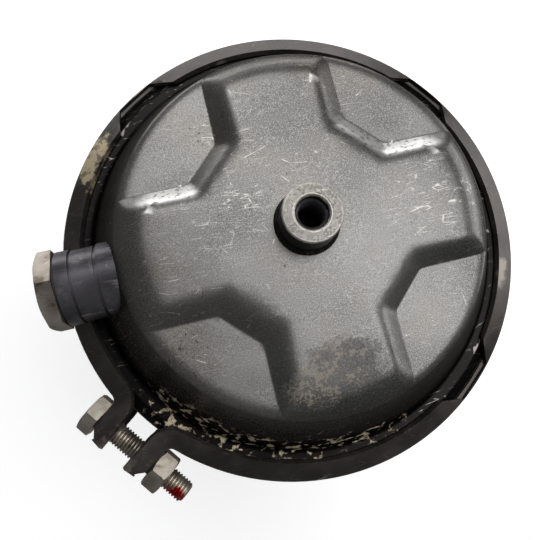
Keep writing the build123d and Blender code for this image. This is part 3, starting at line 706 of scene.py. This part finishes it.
def pressed(x, y, rise):
    """Share of its distance from the heart that a point of the plain cup keeps once the pads are pressed."""
    x, y, out = abs(x), abs(y), hypot(x, y)
    far = hypot(out, rise)
    lines = [(PAD_SIDE, x), (PAD_SIDE, y), (PAD_FRONT, (x + y) / 2**0.5)]
    walls = [far * (DEPTH + PAD_SLOPE * edge) / (rise + PAD_SLOPE * reach) for edge, reach in lines]
    wall = soft_max(soft_max(walls[0], walls[1], CORNER_BEND), walls[2], CORNER_BEND)
    floor = far * DEPTH / max(rise, 0.1)
    taper = far * WALL_FOOT[0] / (out + TAPER * rise)
    pad = soft_min(floor, taper, EDGE_BEND)
    arm = soft_min(soft_max(wall, floor, CREASE_BEND), far, TOP_BEND)
    return max(pad, arm) / far


# %% Cover: press the four pads
# Extra edge loops go in first where the creases will be: three close together along each wall's foot.
PRESSED_FROM = HEART + 12
for reach, first_turn in ((PAD_SIDE, 0), (PAD_FRONT, pi / 4)):
    for quarter in range(4):
        turn = first_turn + quarter * pi / 2
        for beside in (-0.5, 0.0, 0.5):
            upper = [face for face in cover.faces if face.calc_center_median().z > PRESSED_FROM * MM]
            geom = list({item for face in upper for item in [*face.verts, *face.edges, face]})
            normal = Vector((cos(turn), sin(turn), 0)) * DEPTH - Vector((0, 0, reach + beside))
            bmesh.ops.bisect_plane(cover, geom=geom, dist=1e-6, plane_co=mm(0, 0, HEART), plane_no=normal)
for vertex in cover.verts:
    x, y, z = vertex.co / MM
    if hypot(x, y) > CROWN_FLAT and z > PRESSED_FROM:
        vertex.co = mm(0, 0, HEART) + (vertex.co - mm(0, 0, HEART)) * pressed(x, y, z - HEART)
print("cup with pads", len(cover.verts), "vertices")

# %% [markdown]
# The pad walls that face the lamp behind the part get a painted highlight: their paint is made much lighter
# there, as the reflection of that lamp. A mask from noise can't know which way a wall faces in its pad, so
# the
# mesh carries it: a number at each vertex, which the paint reads by its name.

# %% Cover: mark the pad walls that get a painted highlight
HIGHLIGHT_FROM = Vector((0.35, 0.85, 0.0))  # the side of the lamp whose reflection is painted on the walls
HIGHLIGHT_WIDTH = 10.5
FADE = 7  # over which the mask ends at the pads' outer edge


def clamped(value):
    return min(1.0, max(0.0, value))


# Each vertex's number is how strongly its wall gets the painted highlight of the lamp behind the part.
painted_wall_highlight = cover.verts.layers.float.new("painted_wall_highlight")
cover.normal_update()
for vertex in cover.verts:
    facing = vertex.normal.dot(HIGHLIGHT_FROM) * (1 if vertex.normal.z > 0 else -1)
    rise, radius = vertex.co.z / MM - PAD, vertex.co.xy.length / MM
    x, y = abs(vertex.co.x / MM), abs(vertex.co.y / MM)
    inside = max(PAD_SIDE - x, PAD_SIDE - y, PAD_FRONT - (x + y) / 2**0.5)
    if rise > -0.2 and inside < HIGHLIGHT_WIDTH and vertex.co.y > 0:
        vertex[painted_wall_highlight] = clamped((PAD_EDGE - FADE - radius) / FADE) * clamped((facing - 0.26) / 0.25)
print("rubbed vertices", sum(vertex[painted_wall_highlight] > 0.5 for vertex in cover.verts))

# %% [markdown]
# Sheet that was pressed and then knocked about isn't quite even. A bump in the paint would show that, but not
# along the outline, so two waves of noise move the vertices themselves. The hole for the side port needs no
# clean cut: the faces inside its circle are deleted, and the fitting covers the edge that they leave.

# %% Cover: shallow dents
# Each wave has a frequency per metre and a depth in millimetres. They fade out at the boss and the skirt.
for vertex in cover.verts:
    wave = noise.noise(vertex.co * 28) * 0.28 + noise.noise(vertex.co * 75 + Vector((3, 1, 2))) * 0.10
    radius = vertex.co.xy.length / MM
    fade = clamped((radius - CROWN_FLAT - 2) / 12) * clamped((SKIRT - 2 - radius) / 6)
    vertex.co.z += wave * fade * MM

# %% Cover: hole for the side port and sheet thickness
PORT_HOLE = 12.4
SHEET = 2.9
port_faces = []
for face in cover.faces:
    middle = face.calc_center_median()
    if middle.x < 0 and hypot(middle.y, middle.z - PORT_Z * MM) < PORT_HOLE * MM:
        port_faces.append(face)
bmesh.ops.delete(cover, geom=port_faces, context="FACES")
pressure_cover = finish_piece(cover, "cover_shell", "housing", "cover_paint", ["pressure_cover"], sharp=50)
sheet = pressure_cover.modifiers.new("sheet", "SOLIDIFY")
sheet.thickness = SHEET * MM
sheet.offset = -1.0
sheet.use_even_offset = True

# %% [markdown]
# ## Clamp band, housing and inner pieces
# The band, the housing, the boss on the wall and the clevis already have their true shape. They only need
# edges that catch the light, so they are copies with rounded edges. Modelling them again would gain nothing.

# %% Copies with softer edges
SOFT_COPIES = (
    ("clamp_band", "band", "housing", 0.45),
    ("mounting_housing", "housing_shell", "housing", 0.4),
    ("side_port_boss", "side_boss", "housing", 0.3),
    ("clevis", "clevis_fork", "rod", 0.8),
    ("clevis_lock_nut", "lock_nut", "rod", 0.3),
    ("clevis_pin", "pin", "pin", 0.3),
    ("vent_plugs", "plugs", "housing", 0.4),
)
for node, name, body, width in SOFT_COPIES:
    soft_copy(node, name, body, width)

# %% [markdown]
# The diaphragm is clamped at its rim and carried down in its middle. Two pieces, one on each body, would tear
# apart between them, so it is one copy, which rides on no body. The real return spring is squeezed towards
# its lower end as the rod goes out; here it is a copy on the housing with a mesh of its own.

# %% Diaphragm and spring
diaphragm = soft_copy("diaphragm", "diaphragm_skin", None, 0.5)
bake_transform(diaphragm)
spring_copy = merged_copy("return_spring")
spring = finish_piece(spring_copy, "spring", "housing", "spring_steel", ["return_spring"], sharp=70)
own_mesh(spring)

# %% [markdown]
# ## Threads and hexagons
# A screw thread could be a picture of grooves in the Bump node, but its outline would stay smooth. Here it is
# one short zigzag, spun many times round the axis while it climbs. Neighbouring turns share their edge, so
# merging them gives one skin. A hexagon is a round disc whose rim is pushed out to six flats: the round
# face that stays behind is the chamfer that a real nut has.


# %% Thread tools
def coil(bm, zigzag, start, pitch, turns, steps):
    """Zigzag, each point a radius and a share of the pitch, spun round Z and climbing from a height."""
    verts, edges = profile(bm, [(radius, start + share * pitch) for radius, share in zigzag])
    bmesh.ops.spin(
        bm, geom=verts + edges, cent=(0, 0, 0), axis=(0, 0, 1), dvec=mm(0, 0, pitch / steps),
        angle=2 * pi * turns, steps=steps * turns,
    )


def thread(bm, radius, depth, pitch, low, high, chamfer):
    """Outside thread about Z between two heights, with a chamfered upper end."""
    zigzag = [(radius - depth, 0.0), (radius, 0.38), (radius, 0.62), (radius - depth, 1.0)]
    coil(bm, zigzag, low - 1.5 * pitch, pitch, turns=int((high - low) / pitch) + 3, steps=40)
    bmesh.ops.remove_doubles(bm, verts=bm.verts, dist=4e-6)
    for height, keeps_below in ((low, False), (high, True)):
        cut = bmesh.ops.bisect_plane(
            bm, geom=bm.verts[:] + bm.edges[:] + bm.faces[:], dist=1e-7, plane_co=mm(0, 0, height),
            plane_no=(0, 0, 1), clear_outer=keeps_below, clear_inner=not keeps_below,
        )
        rim = [item for item in cut["geom_cut"] if isinstance(item, bmesh.types.BMEdge)]
        bmesh.ops.edgeloop_fill(bm, edges=rim)
    for vertex in bm.verts:
        limit = (radius - max(0.0, chamfer - (high - vertex.co.z / MM))) * MM
        if vertex.co.xy.length > limit:
            vertex.co.xy *= limit / vertex.co.xy.length


# %% Hexagon tool
RIM_INSET = 0.045  # ring round each face, as a share of the width across flats
CHAMFER_FROM = 0.97  # where the chamfer starts, as a share of half that width
CHAMFER_ANGLE = radians(30)


def hexagon(bm, flats, low, high, hole=0.0, both=False, turn=0.0):
    """Hexagon between two heights, chamfered at its upper face or at both, with a hole of a radius."""
    middle = (low + high) / 2
    made = bmesh.ops.create_cone(
        bm, cap_ends=True, cap_tris=False, segments=72, radius1=flats / 2 * MM, radius2=flats / 2 * MM,
        depth=(high - low) * MM, matrix=Matrix.Translation(mm(0, 0, middle)),
    )
    rim = made["verts"]
    caps = list({face for vertex in rim for face in vertex.link_faces if len(face.verts) > 4})
    bmesh.ops.inset_individual(bm, faces=caps, thickness=RIM_INSET * flats * MM)
    if hole:
        bmesh.ops.inset_individual(bm, faces=caps, thickness=(flats * (0.5 - RIM_INSET) - hole) * MM)
        loops = [edge for face in caps for edge in face.edges]
        bmesh.ops.delete(bm, geom=caps, context="FACES_ONLY")
        bmesh.ops.bridge_loops(bm, edges=loops)
    for vertex in rim:
        angle = atan2(vertex.co.y, vertex.co.x)
        corner = flats / 2 / cos((angle - pi / 6) % (pi / 3) - pi / 6)
        upper = vertex.co.z > middle * MM
        if upper or both:
            drop = (corner - flats / 2 * CHAMFER_FROM) * tan(CHAMFER_ANGLE)
            vertex.co.z += (-drop if upper else drop) * MM
        vertex.co.xy = vertex.co.xy.normalized() * corner * MM
    bmesh.ops.rotate(bm, cent=(0, 0, 0), matrix=Matrix.Rotation(turn, 3, "Z"), verts=bm.verts)


# %% [markdown]
# The clamp bolt lies level across the gap between the band's lugs, and the plug points out of the cover's
# side. They could be modelled in place, with every point turned by hand. They are made upright about Z
# instead, where the tools above work, and one matrix then lays all their vertices in place. The objects stay
# at the origin, unturned, like the frame's own pieces.

# %% Clamp bolt: head and threaded shank
BOLT_TURN = radians(216.3)  # where the band's lugs are, round the axis
BOLT_OUT = 114.5  # distance of the bolt from the axis
LUG_BACK = 15.5  # from the middle of the band's gap to the back of each lug
BOLT_FLATS = 17.0
HEAD_HEIGHT = 6.4
NUT_HEIGHT = 8.0
BOLT_LENGTH = 50.0
BOLT_RADIUS = 5.0
BOLT_PITCH = 1.5
THREAD_DEPTH = 0.82
bolt_axis = Matrix.Translation(mm(BOLT_OUT, 0, CLAMP)) @ Matrix.Rotation(-pi / 2, 4, "X")
bolt_place = Matrix.Rotation(BOLT_TURN, 4, "Z") @ bolt_axis
bolt = bmesh.new()
hexagon(bolt, BOLT_FLATS, -LUG_BACK - HEAD_HEIGHT, -LUG_BACK)
head_middle = mm(0, 0, -LUG_BACK - HEAD_HEIGHT / 2)
bmesh.ops.rotate(bolt, cent=head_middle, matrix=Matrix.Rotation(pi, 3, "X"), verts=bolt.verts)
shank = bmesh.new()
shank_from, shank_to = -LUG_BACK - 1.0, BOLT_LENGTH - LUG_BACK
thread(shank, BOLT_RADIUS, THREAD_DEPTH, BOLT_PITCH, shank_from, shank_to, chamfer=1.2)
shank_mesh = bpy.data.meshes.new("shank")
shank.to_mesh(shank_mesh)
shank.free()
bolt.from_mesh(shank_mesh)
bmesh.ops.transform(bolt, matrix=bolt_place, verts=bolt.verts)
finish_piece(bolt, "band_bolt", "housing", "bolt_zinc", ["clamp_bolt"], sharp=30)

# %% Clamp nut
nut = bmesh.new()
hexagon(nut, BOLT_FLATS, LUG_BACK, LUG_BACK + NUT_HEIGHT, hole=BOLT_RADIUS + 0.05, both=True)
bmesh.ops.transform(nut, matrix=bolt_place, verts=nut.verts)
finish_piece(nut, "band_nut", "housing", "bolt_zinc", ["clamp_nut"], sharp=30)

# %% Hexagon plug in the side port
PLUG_FLATS = 30.0
PLUG_FROM, PLUG_TO = 100.5, 107.5  # its head's two faces, as distances from the axis
NECK_RADIUS, NECK_LENGTH, NECK_AT = 11.1, 12, 94.6
plug_place = Matrix.Translation(mm(0, 0, PORT_Z)) @ Matrix.Rotation(-pi / 2, 4, "Y")
plug = bmesh.new()
hexagon(plug, PLUG_FLATS, PLUG_FROM, PLUG_TO, turn=radians(-25))
bmesh.ops.create_cone(
    plug, cap_ends=True, segments=64, radius1=NECK_RADIUS * MM, radius2=NECK_RADIUS * MM,
    depth=NECK_LENGTH * MM, matrix=Matrix.Translation(mm(0, 0, NECK_AT)),
)
bmesh.ops.transform(plug, matrix=plug_place, verts=plug.verts)
finish_piece(plug, "port_plug", "housing", "plug_steel", ["side_port_plug"], sharp=30)

# %% [markdown]
# ## Centre port
# The welded boss was blackened and then faced on a lathe, so its end is bare with two bright rims and its
# side stays black. It is a spun profile with a weld at its foot. The thread in the bore catches the light as
# a few fine rings, so it is a piece of its own: a coil that hangs in the bore and needs no clean ends.

# %% Centre boss
SPIGOT = 9.0  # radius of its lower end, which sits in the cover's hole
WELD_TOP = CROWN - 0.4
boss = bmesh.new()
profile(
    boss,
    [
        (BORE, CROWN - 3), (SPIGOT, CROWN - 3), (SPIGOT, WELD_TOP), (BOSS + 1.7, WELD_TOP),
        (BOSS + 1.5, CROWN + 0.5), (BOSS, CROWN + 1.9), (BOSS, BOSS_TOP - 0.5), (BOSS - 0.5, BOSS_TOP),
        (BORE + 1.0, BOSS_TOP), (BORE, BOSS_TOP - 1.0),
    ],
    [0, 0, 0, 0, 0.8, 0.8, 0.25, 0.25, 0.3, 0],
    segments=3,
)
spin_round(boss, 120)
finish_piece(boss, "centre_boss", "housing", "boss_steel", ["centre_port_boss"], sharp=40)

# %% Thread in the centre bore
CREST = 5.15  # radius of the thread's crests
CENTRE_PITCH = 1.5
zigzag = [(BORE, 0.0), (CREST, 0.4), (CREST, 0.6), (BORE, 1.0)]
inside = bmesh.new()
coil(inside, zigzag, CROWN - 2.8, CENTRE_PITCH, turns=10, steps=48)
finish_piece(inside, "centre_thread", "housing", "boss_steel", sharp=30, look="port_black")

# %% [markdown]
# ## Floor, light and camera
# The part is shown on a white table in soft light. A pale floor takes its shadow, and turns plain white
# further out, where it meets the surround. A fully white surround would wash out dark paint, since every
# glancing surface mirrors it. So the camera and glass see it white, metal sees a share of it, and the light
# that falls on the part comes from three large lamps.

# %% Floor
LOWEST = 158.0  # lower end of the clevis with the rod fully out
MIRRORED = 0.12  # share of the white surround that metal shows


def sees_white(n):
    """How much of the white surround a ray shows: all to the camera and through glass, a share to metal."""
    path = n.add("ShaderNodeLightPath").outputs
    mirrored = n.times(path["Is Glossy Ray"], MIRRORED)
    return n.most(path["Is Camera Ray"], path["Is Transmission Ray"], mirrored)


stage = bmesh.new()
bmesh.ops.create_grid(stage, x_segments=4, y_segments=4, size=4.0)
bmesh.ops.translate(stage, verts=stage.verts, vec=mm(0, 0, -LOWEST - 1))
floor_mesh = bpy.data.meshes.new("floor")
stage.to_mesh(floor_mesh)
stage.free()
floor = bpy.data.objects.new("floor", floor_mesh)
bpy.context.collection.objects.link(floor)
print("floor", LOWEST + 1, "mm below the mounting face")

# %% Floor's finish
white = bpy.data.materials.new("white_floor")
white.use_nodes = True
white.node_tree.nodes.clear()
n = Nodes(white.node_tree)
matte = n.add("ShaderNodeBsdfDiffuse", {"Color": (0.86, 0.86, 0.86, 1.0)})
glow = n.add("ShaderNodeEmission", {"Color": (1.0, 1.0, 1.0, 1.0), "Strength": 0.45})
lit = n.add("ShaderNodeAddShader", {0: matte.outputs[0], 1: glow.outputs[0]})
plain = n.add("ShaderNodeEmission", {"Color": (1.0, 1.0, 1.0, 1.0), "Strength": 1.0})
fading = n.span(n.length(n.place()), 0.25, 0.7)  # metres from the part's axis
shown = n.add("ShaderNodeMixShader", {0: fading, 1: lit.outputs[0], 2: plain.outputs[0]})
dull = n.add("ShaderNodeBsdfDiffuse", {"Color": (0.22, 0.21, 0.20, 1.0)})
chosen = n.add("ShaderNodeMixShader", {0: sees_white(n), 1: dull.outputs[0], 2: shown.outputs[0]})
n.add("ShaderNodeOutputMaterial", {"Surface": chosen.outputs[0]})
floor.data.materials.append(white)
print("material", white.name)

# %% Surround
world = bpy.data.worlds.new("surround")
bpy.context.scene.world = world
world.use_nodes = True
world.node_tree.nodes.clear()
n = Nodes(world.node_tree)
view_white = n.add("ShaderNodeBackground", {"Color": (1, 1, 1, 1), "Strength": 1.0})
dim = n.add("ShaderNodeBackground", {"Color": (0.95, 0.97, 1.0, 1), "Strength": 0.07})
pick = n.add("ShaderNodeMixShader", {0: sees_white(n), 1: dim.outputs[0], 2: view_white.outputs[0]})
n.add("ShaderNodeOutputWorld", {"Surface": pick.outputs[0]})
print("world", world.name)


# %% [markdown]
# The crown and the pads are read by their reflections. A lamp behind the part draws the long bright ones
# along the pad walls that face it, one above lights the crown evenly, and one at the right opens the shadows.


# %% Lamps
def lamp(name, place, size, power):
    """Rectangular lamp that is turned to the middle of the part."""
    data = bpy.data.lights.new(name, "AREA")
    data.shape = "RECTANGLE"
    data.size, data.size_y = size
    data.energy = power
    made = bpy.data.objects.new(name, data)
    way = Vector((0.0, 0.0, 0.12)) - Vector(place)
    made.matrix_world = Matrix.Translation(place) @ way.to_track_quat("-Z", "Y").to_matrix().to_4x4()
    bpy.context.collection.objects.link(made)
    print("lamp", name, power, "W")


lamp("lamp_back", (0.05, 0.95, 0.15), (1.4, 0.36), 5.5)
lamp("lamp_right", (0.95, 0.1, 0.25), (0.8, 0.45), 4)
lamp("lamp_top", (0.27, 0.17, 1.05), (1.6, 0.6), 12)

# %% [markdown]
# The camera looks down on the cover from a hand's reach, a little to one side. Its turn is given by the
# three directions of its own axes, because they say at once which way is right and up in its view.

# %% Camera
CAMERA_AT = (-42.79, -46.07, 366.53)
CAMERA_RIGHT = (0.96855317, -0.23733991, 0.07466275)
CAMERA_UP = (0.22292068, 0.96106855, 0.16325931)
CAMERA_BACK = (-0.11050397, -0.14148145, 0.98375397)
camera_data = bpy.data.cameras.new("camera")
camera_data.sensor_width = 36.0
camera_data.lens = 38.886
camera_data.clip_start = 0.01
camera = bpy.data.objects.new("camera", camera_data)
camera_turn = Matrix((CAMERA_RIGHT, CAMERA_UP, CAMERA_BACK)).transposed().to_4x4()
camera.matrix_world = Matrix.Translation(mm(*CAMERA_AT)) @ camera_turn
bpy.context.collection.objects.link(camera)
bpy.context.scene.camera = camera
bpy.context.scene.view_settings.view_transform = "Standard"
print("camera", CAMERA_AT, "mm")
